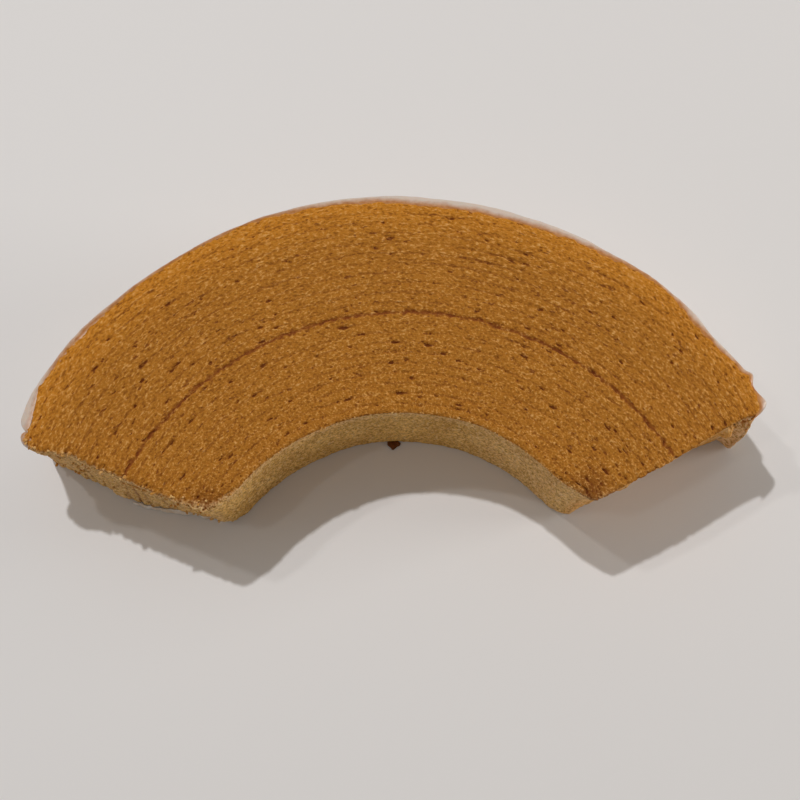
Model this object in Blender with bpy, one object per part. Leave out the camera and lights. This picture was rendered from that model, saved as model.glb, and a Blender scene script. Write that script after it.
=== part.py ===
"""A slice of baumkuchen, about a third of a ring cake, lying flat.

The cake is one solid of thin baked rings. A thin uneven shell of sugar icing covers its outer
wall. Lengths are in metres and +Z is up. The origin is the middle of the slice's underside, and
the ring's centre lies on -Y, so the outer wall's crest is on +Y.
"""

import math

import bmesh
import bpy
from mathutils import Vector, noise

# Driving sizes of the ring
RING_RADIUS = 0.0751
HOLE_RADIUS = 0.0366
THICKNESS = 0.0255
CREST = 90.0

# The two cuts: their half angle at the crest, and how far they pass from the ring's centre
HALF_SPAN = 64.3
CUT_OFFSET = 0.0031
RIGHT_UNDERCUT = 0.0032
RIGHT_HOLLOW = 0.5
RIGHT_STEP = 0.25
RIGHT_PIER = (0.89, 0.09)
LEFT_UNDERCUT = 0.0030
LEFT_FOOT = 0.0009
LEFT_STEP = 0.6
LEFT_TURN = 1.8

# Baked layers, counted from the hole, and the dark seam between two of them
LAYERS = 21
SEAM_LAYER = 10
LAYER_DRIFT = 0.0007
LAYER_RELIEF = 0.00016
SEAM_DEPTH = 0.0007
SEAM_LIP = 0.3

# Rounded edges: at the walls, at the corners by the hole and by the rim, and in height
WALL_ROUND = 0.0007
INNER_CORNER = (0.0024, 0.0062)
INNER_CORNER_TOP = 1.5
OUTER_CORNER = (0.0018, 0.0018)
CORNER_CHANGE = 3.0
EDGE_ROUND = 0.0005
LEFT_EDGE_ROUND = 0.0011
RIGHT_EDGE_ROUND = 0.0006
CORNER_REACH = 0.009
WALL_BULGE = 0.0004
WALL_FOLLOW = 6.0

# Unevenness: heights
TOP_WAVE = 0.00028
TOP_CRUMB = 0.00014
TOP_SHARE = 0.1
WALL_WAVE = 0.00022
HOLE_DRIFT = 0.0003
END_WAVE = 0.0009
END_STEP = 0.0007
END_GROOVE = 0.00030
GROOVE_SHARE = 0.3
END_REACH = 0.009
SEAM_STRENGTH = (0.75, 0.5)

# Unevenness: how wide its lumps are, and metres of arc for a degree at the rim and at the hole
TOP_LUMP = 0.013
CRUMB_LUMP = 0.0024
SEAM_LUMP = 0.005
RIM_LUMP = 0.009
HOLE_LUMP = 0.008
END_LUMP = 0.014
STEP_LUMP = 0.011
STEP_CHANGE = 1.7
HEM_LUMP = 0.006
RIM_ARC = 0.0013
HOLE_ARC = 0.0007

# Icing
GAP = 0.0003
ICING_LEAST = 0.0005
ICING_RADIUS = 0.0764
ICING_TOP = 0.0253
ICING_EDGE = 20
ICING_HEM = 0.0021
HEM_WAVE = 0.0006
LEFT_LOBE = 0.0009
LEFT_RETREAT = 0.0008
LOBE_RISE = (0.5, 0.35)
RIGHT_RETREAT = 0.0018
RETREAT_FALL = 0.3
CORNER_FOLLOW = 0.5

# Swells and dents of the cake's rim: angle, half width in degrees, height in metres
RIM_FORMS = (
    (151.6, 4.4, -0.0017),
    (131.4, 2.4, -0.0003),
    (125.0, 22.0, 0.0006),
    (108.0, 9.0, 0.0006),
    (93.0, 3.5, 0.0003),
    (76.0, 11.0, -0.0005),
    (52.0, 5.0, 0.0005),
    (44.8, 2.0, -0.0008),
    (40.0, 3.4, -0.0013),
    (33.5, 1.9, -0.0011),
    (34.0, 0.6, 0.0008),
    (28.4, 2.2, -0.0024),
)

# The same for the icing's outer face
ICING_FORMS = (
    (151.0, 3.4, -0.0012),
    (137.4, 3.6, 0.0005),
    (125.0, 5.0, 0.0002),
    (101.0, 15.0, 0.0009),
    (72.0, 14.0, 0.0003),
    (42.0, 1.6, -0.0004),
    (38.0, 5.2, -0.0011),
    (34.1, 0.6, 0.0006),
    (31.8, 1.5, -0.0012),
    (28.6, 1.4, -0.0012),
)

# Torn crumb on the two cut ends: radius, height, half sizes along both, how far it stands out
LEFT_CRUMBS = (
    (0.0585, 0.0060, 0.0014, 0.0035, 0.0012),
    (0.0690, 0.0150, 0.0012, 0.0025, 0.0007),
    (0.0450, 0.0120, 0.0016, 0.0030, 0.0006),
    (0.0620, 0.0255, 0.0090, 0.0060, 0.0010),
)
RIGHT_CRUMBS = (
    (0.0665, 0.0255, 0.0080, 0.0090, -0.0013),
    (0.0675, 0.0200, 0.0014, 0.0020, 0.0020),
    (0.0480, 0.0100, 0.0016, 0.0030, 0.0008),
)

# Mesh divisions
RADIAL_STEPS = 2 * LAYERS
HEIGHT_STEPS = 9
ARC_STEPS = 48
ICING_STEPS = 2
END_CROWDING = 0.72
EDGE_CROWDING = 0.9

WALL_WIDTH = RING_RADIUS - HOLE_RADIUS
SHARP_ANGLE = math.radians(50)

# The ring's centre, so that the slice's box is centred on the origin
CENTRE_X = 0.00034
CENTRE_Y = -0.04857


def smooth(share):
    """Ease a share from 0 to 1."""
    share = min(max(share, 0.0), 1.0)
    return share * share * (3.0 - 2.0 * share)


def blend(low, high, share):
    return low + (high - low) * share


def mound(distance, half_width):
    """A soft mound, 1 at its middle and 0 beyond twice the half width."""
    return 1.0 - smooth(abs(distance) / (2.0 * half_width))


def grain(place, size, seed):
    """Smooth noise from -1 to 1 whose lumps are about the given size across."""
    return noise.noise(Vector(place) / size + Vector((seed, 7.3 * seed, 3.1 * seed)))


def crowded(share, crowding):
    """Move even steps towards both ends."""
    return blend(share, 0.5 - 0.5 * math.cos(math.pi * share), crowding)


def rounded(place, size, radii):
    """Pull a point of a box onto the same box with rounded edges."""
    core = [min(max(p, r), s - r) for p, s, r in zip(place, size, radii)]
    reach = [(p - c) / r for p, c, r in zip(place, core, radii)]
    length = math.sqrt(sum(r * r for r in reach))
    if length <= 1.0:
        return list(place)
    return [c + r * e / length for c, r, e in zip(core, radii, reach)]


def cut_angle(radius):
    """Half the slice's angle at a radius, for flat cuts that miss the ring's centre."""
    return math.radians(HALF_SPAN) - math.asin(CUT_OFFSET / radius)


def corner_radii(share, lift, depth, side):
    """How far edges are rounded across, in height and along the arc, at a depth from the end."""
    outer = smooth(share * CORNER_CHANGE)
    grow = blend(1.0, INNER_CORNER_TOP, lift * (1.0 - outer))
    across, along = [blend(a, b, outer) * grow for a, b in zip(INNER_CORNER, OUTER_CORNER)]
    inside = smooth(depth / CORNER_REACH)
    edge = LEFT_EDGE_ROUND if side < 0 else RIGHT_EDGE_ROUND
    return (blend(across, WALL_ROUND, inside), blend(edge, EDGE_ROUND, inside), along)


def rim_radius(angle, height, forms, base):
    """The outer radius at an angle in degrees: a circle with its swells and dents."""
    out = base
    for middle, half_width, rise in forms:
        out += rise * mound(angle - middle, half_width)
    side = 2.0 * height / THICKNESS - 1.0
    place = (angle * RIM_ARC, height, 0.0)
    return out + WALL_BULGE * (1.0 - side * side) + WALL_WAVE * grain(place, RIM_LUMP, 2.0)


def hole_radius(angle, height):
    """The hole's radius at an angle in degrees."""
    drift = HOLE_DRIFT * math.cos(math.radians(angle))
    wave = WALL_WAVE * grain((angle * HOLE_ARC, height, 0.0), HOLE_LUMP, 5.0)
    return HOLE_RADIUS + drift + wave


def seam_rows(share):
    """Draw the rows beside the seam close to it, as the lips of a narrow groove."""
    row = share * RADIAL_STEPS
    offset = row - 2 * SEAM_LAYER
    if abs(offset) >= 2.0:
        return share
    near = SEAM_LIP * min(abs(offset), 1.0)
    far = (2.0 - SEAM_LIP) * max(abs(offset) - 1.0, 0.0)
    return (2 * SEAM_LAYER + math.copysign(near + far, offset)) / RADIAL_STEPS


def end_crumbs(radius, height, crumbs):
    """Lumps and flakes of torn crumb on a cut end."""
    out = 0.0
    for middle, level, wide, tall, stand in crumbs:
        out += stand * mound(radius - middle, wide) * mound(height - level, tall)
    return out


def layer_step(layers, height, side):
    """Each torn layer stands out by its own amount, with a groove between it and the next."""
    index = math.floor(layers)
    inside = layers - index
    flat = smooth(min(inside, 1.0 - inside) / GROOVE_SHARE)
    place = Vector((index * STEP_CHANGE + 0.4, height / STEP_LUMP, 11.0 * side))
    stand = END_STEP * noise.noise(place)
    return blend(-END_GROOVE, stand, flat)


def end_relief(share, radius, height, side):
    """How far a cut end stands out at a place: waves, steps from layer to layer and crumbs."""
    step = layer_step(share * LAYERS, height, side)
    wave = END_WAVE * grain((radius, height, 0.0), END_LUMP, 20.0 + side)
    drop = 1.0 - height / THICKNESS
    if side > 0:
        start, width = RIGHT_PIER
        lean = -RIGHT_UNDERCUT * drop ** RIGHT_HOLLOW * (1.0 - smooth((share - start) / width))
        return RIGHT_STEP * step + wave + lean + end_crumbs(radius, height, RIGHT_CRUMBS)
    lean = drop * blend(-LEFT_UNDERCUT, LEFT_FOOT, smooth(share * LEFT_TURN))
    return LEFT_STEP * step + wave + lean + end_crumbs(radius, height, LEFT_CRUMBS)


def top_relief(share, angle, radius):
    """The cut top: broad waves, a ridge to each layer, crumb and the seam's groove."""
    place = (radius * math.cos(math.radians(angle)), radius * math.sin(math.radians(angle)), 0.0)
    ridge = -LAYER_RELIEF * math.cos(2.0 * math.pi * share * LAYERS)
    wave = TOP_WAVE * grain(place, TOP_LUMP, 31.0)
    crumb = TOP_CRUMB * grain(place, CRUMB_LUMP, 37.0)
    seam = 1.0 - smooth(abs(share * RADIAL_STEPS - 2 * SEAM_LAYER) / SEAM_LIP)
    usual, change = SEAM_STRENGTH
    strength = usual + change * grain(place, SEAM_LUMP, 41.0)
    return ridge + wave + crumb - SEAM_DEPTH * seam * strength


def cake_point(across, up, along):
    """Place a point of the cake from its shares of the wall's width, height and arc."""
    share = seam_rows(across)
    lift = crowded(up, EDGE_CROWDING)
    arc = crowded(along, END_CROWDING)
    radius = blend(HOLE_RADIUS, RING_RADIUS, share)
    length = 2.0 * cut_angle(radius) * radius
    size = (WALL_WIDTH, THICKNESS, length)
    side = 1.0 if arc > 0.5 else -1.0
    radii = corner_radii(share, lift, length * min(arc, 1.0 - arc), side)
    inward, height, run = rounded((share * WALL_WIDTH, lift * THICKNESS, arc * length), size, radii)

    share_now = inward / WALL_WIDTH
    radius_now = HOLE_RADIUS + inward
    half = cut_angle(radius_now)
    depth = min(run, length - run)
    relief = end_relief(share, radius_now, height, side) * (1.0 - smooth(depth / END_REACH))
    turn = (run / length - 0.5) * 2.0 * half + side * relief / radius_now
    angle = CREST - math.degrees(turn)

    drift = LAYER_DRIFT * math.cos(math.radians(angle)) * 4.0 * share_now * (1.0 - share_now)
    hole = hole_radius(angle, height) - HOLE_RADIUS
    rim = rim_radius(angle, height, RIM_FORMS, RING_RADIUS) - RING_RADIUS
    radius_now += drift + rim * share_now ** WALL_FOLLOW + hole * (1.0 - share_now) ** WALL_FOLLOW
    top = smooth((height / THICKNESS - 1.0 + TOP_SHARE) / TOP_SHARE)
    height += top * top_relief(share, angle, radius_now)
    return ring_place(radius_now, angle, height)


def ring_place(radius, angle, height):
    """A place given round the ring's centre, in the part's own frame."""
    turn = math.radians(angle)
    return Vector((CENTRE_X + radius * math.cos(turn), CENTRE_Y + radius * math.sin(turn), height))


def corner_drop(depth):
    """How far the icing's inner face follows the cake's rounded corner, at a depth from its end."""
    across, along = OUTER_CORNER
    near = min(max(along - depth, 0.0) / along, 1.0)
    return CORNER_FOLLOW * across * (1.0 - math.sqrt(1.0 - near * near))


def icing_point(across, up, along):
    """Place a point of the icing from its shares of the shell's thickness, height and arc."""
    arc = crowded(along, END_CROWDING)
    half = cut_angle(RING_RADIUS)
    side = 1.0 if arc > 0.5 else -1.0
    depth = 2.0 * half * RING_RADIUS * min(arc, 1.0 - arc)
    lift = crowded(up, EDGE_CROWDING)
    angle = CREST + math.degrees(half) * (1.0 - 2.0 * arc)
    hem = ICING_HEM + HEM_WAVE * grain((angle * RIM_ARC, 0.0, 0.0), HEM_LUMP, 51.0)
    height = blend(hem, ICING_TOP, lift)

    if side > 0:
        proud = -RIGHT_RETREAT * smooth((1.0 - lift) / RETREAT_FALL)
    else:
        start, width = LOBE_RISE
        proud = blend(-LEFT_RETREAT, LEFT_LOBE, smooth((lift - start) / width))
    reach = 1.0 - smooth(depth / END_REACH)
    stand = (end_relief(1.0, RING_RADIUS, height, side) + proud) * reach
    angle -= side * math.degrees(stand / RING_RADIUS)

    drop = corner_drop(depth - proud * reach)
    inner = rim_radius(angle, height, RIM_FORMS, RING_RADIUS) + GAP - drop
    outer = rim_radius(angle, height, ICING_FORMS, ICING_RADIUS)
    outer = max(outer, inner + ICING_LEAST) - CORNER_FOLLOW * drop
    edge = 1.0 - (2.0 * up - 1.0) ** ICING_EDGE
    outer = blend(inner + ICING_LEAST, outer, edge)
    return ring_place(blend(inner, outer, across), angle, height)


def sector(columns, rows, steps):
    """A closed block of unit sides, bent a quarter turn: its width is the radius less one."""
    mesh = bmesh.new()
    bmesh.ops.create_grid(mesh, x_segments=columns, y_segments=rows, size=0.5)
    for vert in mesh.verts:
        vert.co = Vector((1.5 + vert.co.x, 0.0, 0.5 + vert.co.y))
    section = mesh.verts[:] + mesh.edges[:] + mesh.faces[:]
    bmesh.ops.spin(
        mesh, geom=section, cent=(0, 0, 0), axis=(0, 0, 1), dvec=(0, 0, 0),
        angle=-math.pi / 2, steps=steps, use_merge=False, use_duplicate=False,
    )
    bmesh.ops.recalc_face_normals(mesh, faces=mesh.faces[:])
    return mesh


def shares(place):
    """A point's shares of the block's width, height and arc."""
    across = math.hypot(place.x, place.y) - 1.0
    along = math.atan2(-place.y, place.x) / (math.pi / 2)
    return [min(max(value, 0.0), 1.0) for value in (across, place.z, along)]


def shaped(name, mesh, place, material):
    """Move the block's points to their places and make it an object."""
    for vert in mesh.verts:
        vert.co = place(*shares(vert.co))
    data = bpy.data.meshes.new(name)
    mesh.to_mesh(data)
    mesh.free()
    data.shade_smooth()
    data.set_sharp_from_angle(angle=SHARP_ANGLE)
    data.materials.append(material)
    piece = bpy.data.objects.new(name, data)
    bpy.context.scene.collection.objects.link(piece)


def finish(name, colour, roughness):
    """A Principled material."""
    material = bpy.data.materials.new(name)
    material.use_nodes = True
    shader = material.node_tree.nodes["Principled BSDF"]
    shader.inputs["Base Color"].default_value = (*colour, 1.0)
    shader.inputs["Roughness"].default_value = roughness
    shader.inputs["Metallic"].default_value = 0.0
    material.diffuse_color = (*colour, 1.0)
    return material


def make_cake():
    crumb = finish("cake_crumb", (0.36, 0.15, 0.035), 0.85)
    shaped("cake", sector(RADIAL_STEPS, HEIGHT_STEPS, ARC_STEPS), cake_point, crumb)


def make_icing():
    sugar = finish("sugar_icing", (0.72, 0.62, 0.55), 0.35)
    shaped("icing", sector(ICING_STEPS, HEIGHT_STEPS, ARC_STEPS), icing_point, sugar)


for old in list(bpy.data.objects):
    bpy.data.objects.remove(old)

make_cake()
make_icing()
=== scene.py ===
"""Looks of a slice of baumkuchen: sponge with baked rings, sugar icing, loose crumbs and a stage.

The slice's form is worked out from the same sizes as its solids, on a finer mesh.
"""

import math

import bmesh
import bpy
import numpy as np
from bpy.props import FloatProperty, FloatVectorProperty, IntProperty, PointerProperty
from mathutils import Matrix, Vector, noise


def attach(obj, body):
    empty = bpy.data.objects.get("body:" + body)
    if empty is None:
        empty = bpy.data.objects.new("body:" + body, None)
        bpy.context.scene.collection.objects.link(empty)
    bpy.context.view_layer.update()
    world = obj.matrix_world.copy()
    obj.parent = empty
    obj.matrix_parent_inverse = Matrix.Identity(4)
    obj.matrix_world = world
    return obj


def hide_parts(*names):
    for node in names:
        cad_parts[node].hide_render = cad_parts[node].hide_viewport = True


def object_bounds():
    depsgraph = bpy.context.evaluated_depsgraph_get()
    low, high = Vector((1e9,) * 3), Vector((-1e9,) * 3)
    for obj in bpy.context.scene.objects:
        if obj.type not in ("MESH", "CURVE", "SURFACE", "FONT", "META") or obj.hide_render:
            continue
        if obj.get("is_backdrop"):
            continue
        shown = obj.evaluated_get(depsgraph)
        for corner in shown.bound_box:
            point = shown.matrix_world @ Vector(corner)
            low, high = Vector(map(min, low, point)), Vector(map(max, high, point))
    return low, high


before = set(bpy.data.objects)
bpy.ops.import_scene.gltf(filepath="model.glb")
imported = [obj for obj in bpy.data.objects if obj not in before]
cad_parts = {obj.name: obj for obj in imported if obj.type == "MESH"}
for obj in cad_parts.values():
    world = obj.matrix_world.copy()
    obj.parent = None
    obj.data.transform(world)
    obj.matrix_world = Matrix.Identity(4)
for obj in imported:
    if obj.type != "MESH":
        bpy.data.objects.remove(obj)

bl_info = {
    "name": "Baumkuchen Slice",
    "version": (1, 0, 0),
    "blender": (4, 5, 0),
    "location": "View3D > Sidebar > Baumkuchen",
    "description": "Models and dresses a slice of layered ring cake",
    "category": "Add Mesh",
}

FRAME_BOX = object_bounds()

# The ring's centre and sizes, in metres, and the slice's half angle in degrees
CENTRE = Vector((0.00034, -0.04857, 0.0))
RING_RADIUS = 0.0751
HOLE_RADIUS = 0.0366
THICKNESS = 0.0255
CREST = 90.0
HALF_SPAN = 64.3
CUT_OFFSET = 0.0031
WALL_WIDTH = RING_RADIUS - HOLE_RADIUS
MIDDLE_RADIUS = 0.5 * (RING_RADIUS + HOLE_RADIUS)

# Lengths for each degree along the rim and the hole, for noise that runs round them
RIM_DEGREE = 0.0013
HOLE_DEGREE = 0.0007

# Leans of the two cut ends, how much the steps between their layers show, and the share of the
# wall where the right end's upright pier by the rim begins, with the share over which it rises
RIGHT_UNDERCUT = 0.0032
RIGHT_HOLLOW = 0.5
RIGHT_STEP = 0.25
RIGHT_PIER = (0.89, 0.09)
LEFT_UNDERCUT = 0.0030
LEFT_FOOT = 0.0009
LEFT_STEP = 0.6

# Baked layers, counted from the hole
LAYERS = 21
SEAM_LAYER = 10
LAYER_DRIFT = 0.0007
STRONG_LAYERS = (1, 2, 4, 6, 8, 13, 17)

# Rounded edges: at the walls, at the corners by the hole and by the rim (across and along the arc),
# and in height; the share of the wall past which the height's eases to the same at the ends, and
# how far in the corners reach; how much the walls bulge and how fast their form fades inside
HOLE_ROUND = 0.0010
RIM_ROUND = 0.0002
INNER_CORNER = (0.0024, 0.0062)
INNER_CORNER_TOP = 1.5
OUTER_CORNER = (0.0018, 0.0018)
EDGE_ROUND = 0.0005
LEFT_EDGE_ROUND = 0.0011
RIGHT_EDGE_ROUND = 0.0006
EDGE_FROM = 0.93
CORNER_REACH = 0.009
WALL_BULGE = 0.0004
WALL_FOLLOW = 6.0

# Broad unevenness, and how far in from a cut end its relief and its own colours reach
TOP_WAVE = 0.00028
WALL_WAVE = 0.00022
HOLE_DRIFT = 0.0003
END_WAVE = 0.0009
END_STEP = 0.0007
END_GROOVE = 0.00030
END_REACH = 0.009
END_SKIN = 0.0016

# Crumb: sizes of its fine and coarse grain, its bubbles and the patches with more of them
FINE_GRAIN = 0.00042
COARSE_GRAIN = 0.0009
BUBBLE = 0.00060
BUBBLE_PATCH = 0.007

# Pores of the cut top: the share that lies on the lines between layers, and the least half width
# and half length with what the size adds to each
PORE_SEED = 11
PORES_ON_LINES = 0.45
PORE_WIDTH = (0.00011, 0.00007)
PORE_LENGTH = (0.00018, 0.00024)

# Browner patches: their angles, layer and half widths in layers and degrees
TOAST_ANGLES = (148.5, 34.0)
TOAST_LAYER = 1.6
TOAST_LAYERS = 1.5
TOAST_DEGREES = 4.2

# Icing: how thin it gets, how deep it sits in the cake, its outer radius, its top and hem, how the
# crust's torn edge reaches into it, how far it stays back from the ends (on the left at its foot
# and its top), how its ends and edges are rounded, and how milky it is
ICING_LEAST = 0.0005
ICING_OVERLAP = 0.0004
ICING_RADIUS = 0.0763
ICING_TOP = 0.0253
ICING_HEM = 0.0021
HEM_WAVE = 0.0006
RIM_REACH = 0.00025
RIM_TEAR = 0.0004
LEFT_RETREAT = (0.0008, 0.0009)
RIGHT_RETREAT = 0.0018
ICING_ROUND = 0.0020
ICING_EDGE = 30
FULL_THICKNESS = 0.0012
LOBE_MILK = 0.62
LOBE_ANGLE = 141.0
WALL_MILK = 0.45

# Pad of icing round the rim's left corner: its place across the wall, how far inside the end and
# how high its middle is, and half sizes outwards, across and up
PAD_SHARE = 0.955
PAD_INSIDE = 0.0009
PAD_HEIGHT = 0.0228
PAD_SIZE = (0.0017, 0.0019, 0.0021)
PAD_MILK = 1.1

# Glaze along the left end's foot: its ends in shares of the wall, its height share, its half width
# and how far it stands out
GLAZE_REACH = (0.03, 0.52)
GLAZE_LIFT = 0.03
GLAZE_SIZE = 0.00042
GLAZE_STAND = 0.0005
GLAZE_STEPS = 60

# The flake is a bit of the cake's lip darkened as painted shade where the contact shadow is deepest
# Dark flake at the foot of the hole's wall: its place, and half sizes along the wall, out and up
FLAKE_RADIUS = 0.0361
FLAKE_ANGLE = 90.7
FLAKE_SIZE = (0.0015, 0.0009, 0.0004)

# Swells and dents of the cake's rim: angle, half width in degrees, height in metres
RIM_FORMS = (
    (152.0, 3.2, -0.0021),
    (131.4, 2.4, -0.0003),
    (125.0, 22.0, 0.0006),
    (108.0, 9.0, 0.0006),
    (93.0, 3.5, 0.0003),
    (76.0, 11.0, -0.0005),
    (52.0, 5.0, 0.0003),
    (44.8, 2.0, -0.0008),
    (40.0, 3.4, -0.0013),
    (33.5, 1.9, -0.0011),
    (34.0, 0.6, 0.0008),
    (28.4, 2.2, -0.0024),
)

# The same for the icing's outer face
ICING_FORMS = (
    (152.6, 3.0, -0.0014),
    (137.4, 3.6, 0.0005),
    (125.0, 5.0, 0.0002),
    (101.0, 15.0, 0.0009),
    (72.0, 14.0, 0.0003),
    (42.0, 1.6, -0.0004),
    (38.0, 5.2, -0.0011),
    (34.1, 0.6, 0.0006),
    (31.8, 1.5, -0.0012),
    (28.6, 1.4, -0.0012),
)

# Torn crumb on the two cut ends: radius, height, half sizes along both, how far it stands out
LEFT_CRUMBS = (
    (0.0585, 0.0060, 0.0014, 0.0035, 0.0012),
    (0.0690, 0.0150, 0.0012, 0.0025, 0.0007),
    (0.0450, 0.0120, 0.0016, 0.0030, 0.0006),
    (0.0600, 0.0255, 0.0090, 0.0060, 0.0007),
    (0.0717, 0.0255, 0.0036, 0.0075, 0.0026),
)
RIGHT_CRUMBS = (
    (0.0665, 0.0255, 0.0080, 0.0090, -0.0013),
    (0.0675, 0.0200, 0.0014, 0.0020, 0.0020),
    (0.0480, 0.0100, 0.0016, 0.0030, 0.0008),
)

# Loose crumbs on the left end, along the hole's edge and at the right corner
CRUMB_SEED = 23
END_CRUMBS = 100
EDGE_CRUMBS = 60
CORNER_CRUMBS = 26

# Masks that the sponge's material reads
# The dark mask carries painted shade in the pits and pores
MASKS = ("crust", "cream", "baked", "dark", "relief", "toast", "layer", "seam_strength", "seam_offset")

# Colours of the sponge and the icing beside the ones in the settings
TOP_BLOTCH = (0.42, 0.145, 0.012)
TOAST_BROWN = (0.24, 0.075, 0.006)
WALL_BLOTCH = (0.70, 0.38, 0.085)
WALL_LUMP = (0.50, 0.24, 0.05)
WALL_RIM = (0.74, 0.31, 0.045)
END_GOLD = (0.84, 0.38, 0.065)
# Painted highlight on the crumb's peaks, on the walls and on the top
PAINTED_HIGHLIGHT_WALL = (1.0, 0.74, 0.38)
PAINTED_HIGHLIGHT_TOP = (0.86, 0.44, 0.125)
# Cream of pale torn crumb, also painting light on the right of the hole's wall and the right pier
CREAM_AND_PAINTED_LIGHT = (0.97, 0.65, 0.35)
# Painted shade in the crumb's hollows, on the walls and on the top
PAINTED_SHADE_WALL = (0.26, 0.125, 0.028)
PAINTED_SHADE_TOP = (0.19, 0.055, 0.005)
ICING_STAIN = (0.43, 0.165, 0.035)

# How far light goes into crumb and icing, in metres for each colour
CRUMB_GLOW = (0.0008, 0.0004, 0.0001)
ICING_GLOW = (0.0010, 0.0006, 0.0004)

# Colour of the three weakest lights, and where the camera aims from the ring's centre before its turn
WARM = (1.0, 0.97, 0.93)
AIM = Vector((-0.003, 0.038775, 0.0))

# Mesh divisions: across the wall, in height and along the arc
CAKE_STEPS = (92, 18, 164)
ICING_STEPS = (3, 40, 300)

# How much points crowd towards the ends and the edges
END_CROWDING = 0.55
EDGE_CROWDING = 0.6


class SpongeSettings(bpy.types.PropertyGroup):
    crust: FloatVectorProperty(
        name="Crust", description="Colour of the cut top", subtype="COLOR", size=3,
        min=0.0, max=1.0, default=(0.455, 0.176, 0.0170),
    )
    rim: FloatVectorProperty(
        name="Rim", description="Colour of the outermost layers", subtype="COLOR", size=3,
        min=0.0, max=1.0, default=(0.62, 0.235, 0.018),
    )
    crumb: FloatVectorProperty(
        name="Crumb", description="Colour of the walls and cut ends", subtype="COLOR", size=3,
        min=0.0, max=1.0, default=(0.92, 0.55, 0.155),
    )
    # Pore colour: painted shade in the pits and pores, also used for the thin lines between layers
    pore: FloatVectorProperty(
        name="Pore", description="Colour in the pores", subtype="COLOR", size=3,
        min=0.0, max=1.0, default=(0.16, 0.034, 0.004),
    )
    seam: FloatVectorProperty(
        name="Seam", description="Colour of the dark seam", subtype="COLOR", size=3,
        min=0.0, max=1.0, default=(0.22, 0.048, 0.009),
    )
    pores: IntProperty(
        name="Pores", description="How many pores the cut top has", default=860, min=0, max=3000,
    )
    pore_depth: FloatProperty(
        name="Pore Depth", description="Depth of the largest pores",
        default=0.00065, min=0.0, max=0.002, unit="LENGTH",
    )
    grain: FloatProperty(
        name="Grain", description="Height of the fine crumb", default=0.00010,
        min=0.0, max=0.0006, unit="LENGTH",
    )
    layer_relief: FloatProperty(
        name="Layer Relief", description="Depth of the lines between layers", default=0.00016,
        min=0.0, max=0.001, unit="LENGTH",
    )
    seam_depth: FloatProperty(
        name="Seam Depth", description="Depth of the dark seam", default=0.0007,
        min=0.0, max=0.002, unit="LENGTH",
    )


class IcingSettings(bpy.types.PropertyGroup):
    sugar: FloatVectorProperty(
        name="Sugar", description="Colour where the icing is thick", subtype="COLOR", size=3,
        min=0.0, max=1.0, default=(0.68, 0.565, 0.48),
    )
    thin: FloatVectorProperty(
        name="Thin", description="Colour where the cake shows through", subtype="COLOR", size=3,
        min=0.0, max=1.0, default=(0.54, 0.235, 0.07),
    )
    ripple: FloatProperty(
        name="Ripple", description="Height of the soft ripples", default=0.00012,
        min=0.0, max=0.0006, unit="LENGTH",
    )


class StageSettings(bpy.types.PropertyGroup):
    floor: FloatVectorProperty(
        name="Floor", description="Colour of the floor", subtype="COLOR", size=3,
        min=0.0, max=1.0, default=(0.80, 0.78, 0.77),
    )
    floor_size: FloatProperty(
        name="Floor Size", description="Side of the square floor", default=1.6,
        min=0.5, max=5.0, unit="LENGTH",
    )
    distance: FloatProperty(
        name="Camera Distance", description="From the camera to the cut top", default=0.2798,
        min=0.05, max=2.0, unit="LENGTH",
    )
    lens: FloatProperty(
        name="Lens", description="Focal length in millimetres", default=72.0, min=20.0, max=200.0,
    )
    tilt: FloatProperty(
        name="Tilt", description="Camera's tilt from straight down", default=math.radians(13.5),
        min=0.0, max=math.pi / 2, subtype="ANGLE",
    )
    turn: FloatProperty(
        name="Turn", description="Camera's turn round the upright", default=math.radians(-5.1),
        min=-math.pi, max=math.pi, subtype="ANGLE",
    )
    roll: FloatProperty(
        name="Roll", description="Camera's roll about its own axis", default=math.radians(4.0),
        min=-math.pi, max=math.pi, subtype="ANGLE",
    )


def smooth(share):
    """Ease a share from 0 to 1."""
    share = min(max(share, 0.0), 1.0)
    return share * share * (3.0 - 2.0 * share)


def ramp(value, start, width):
    """Ease from 0 at the start to 1 a width further on."""
    return smooth((value - start) / width)


def blend(low, high, share):
    return low + (high - low) * share


def mound(distance, half_width):
    """A soft mound, 1 at its middle and 0 beyond twice the half width."""
    return 1.0 - smooth(abs(distance) / (2.0 * half_width))


def grain(place, size, seed):
    """Smooth noise from -1 to 1 whose lumps are about the given size across."""
    return noise.noise(Vector(place) / size + Vector((seed, 7.3 * seed, 3.1 * seed)))


def crowded(share, crowding):
    """Move even steps towards both ends."""
    return blend(share, 0.5 - 0.5 * math.cos(math.pi * share), crowding)


def rounded(place, size, radii):
    """Pull a point of a box onto the same box with rounded edges."""
    core = [min(max(p, r), s - r) for p, s, r in zip(place, size, radii)]
    reach = [(p - c) / r for p, c, r in zip(place, core, radii)]
    length = math.sqrt(sum(r * r for r in reach))
    if length <= 1.0:
        return list(place)
    return [c + r * e / length for c, r, e in zip(core, radii, reach)]


def cut_angle(radius):
    """Half the slice's angle at a radius, for flat cuts that miss the ring's centre."""
    return math.radians(HALF_SPAN) - math.asin(CUT_OFFSET / radius)


def corner_radii(share, lift, depth, side):
    """How far edges are rounded across, in height and along the arc, at a depth from the end."""
    outer = smooth(share * 3.0)
    grow = blend(1.0, INNER_CORNER_TOP, lift * (1.0 - outer))
    across, along = [blend(a, b, outer) * grow for a, b in zip(INNER_CORNER, OUTER_CORNER)]
    inside = smooth(depth / CORNER_REACH)
    edge = LEFT_EDGE_ROUND if side < 0 else RIGHT_EDGE_ROUND
    edge = blend(edge, EDGE_ROUND, max(inside, ramp(share, EDGE_FROM, 1.0 - EDGE_FROM)))
    return (blend(across, blend(HOLE_ROUND, RIM_ROUND, outer), inside), edge, along)


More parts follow.
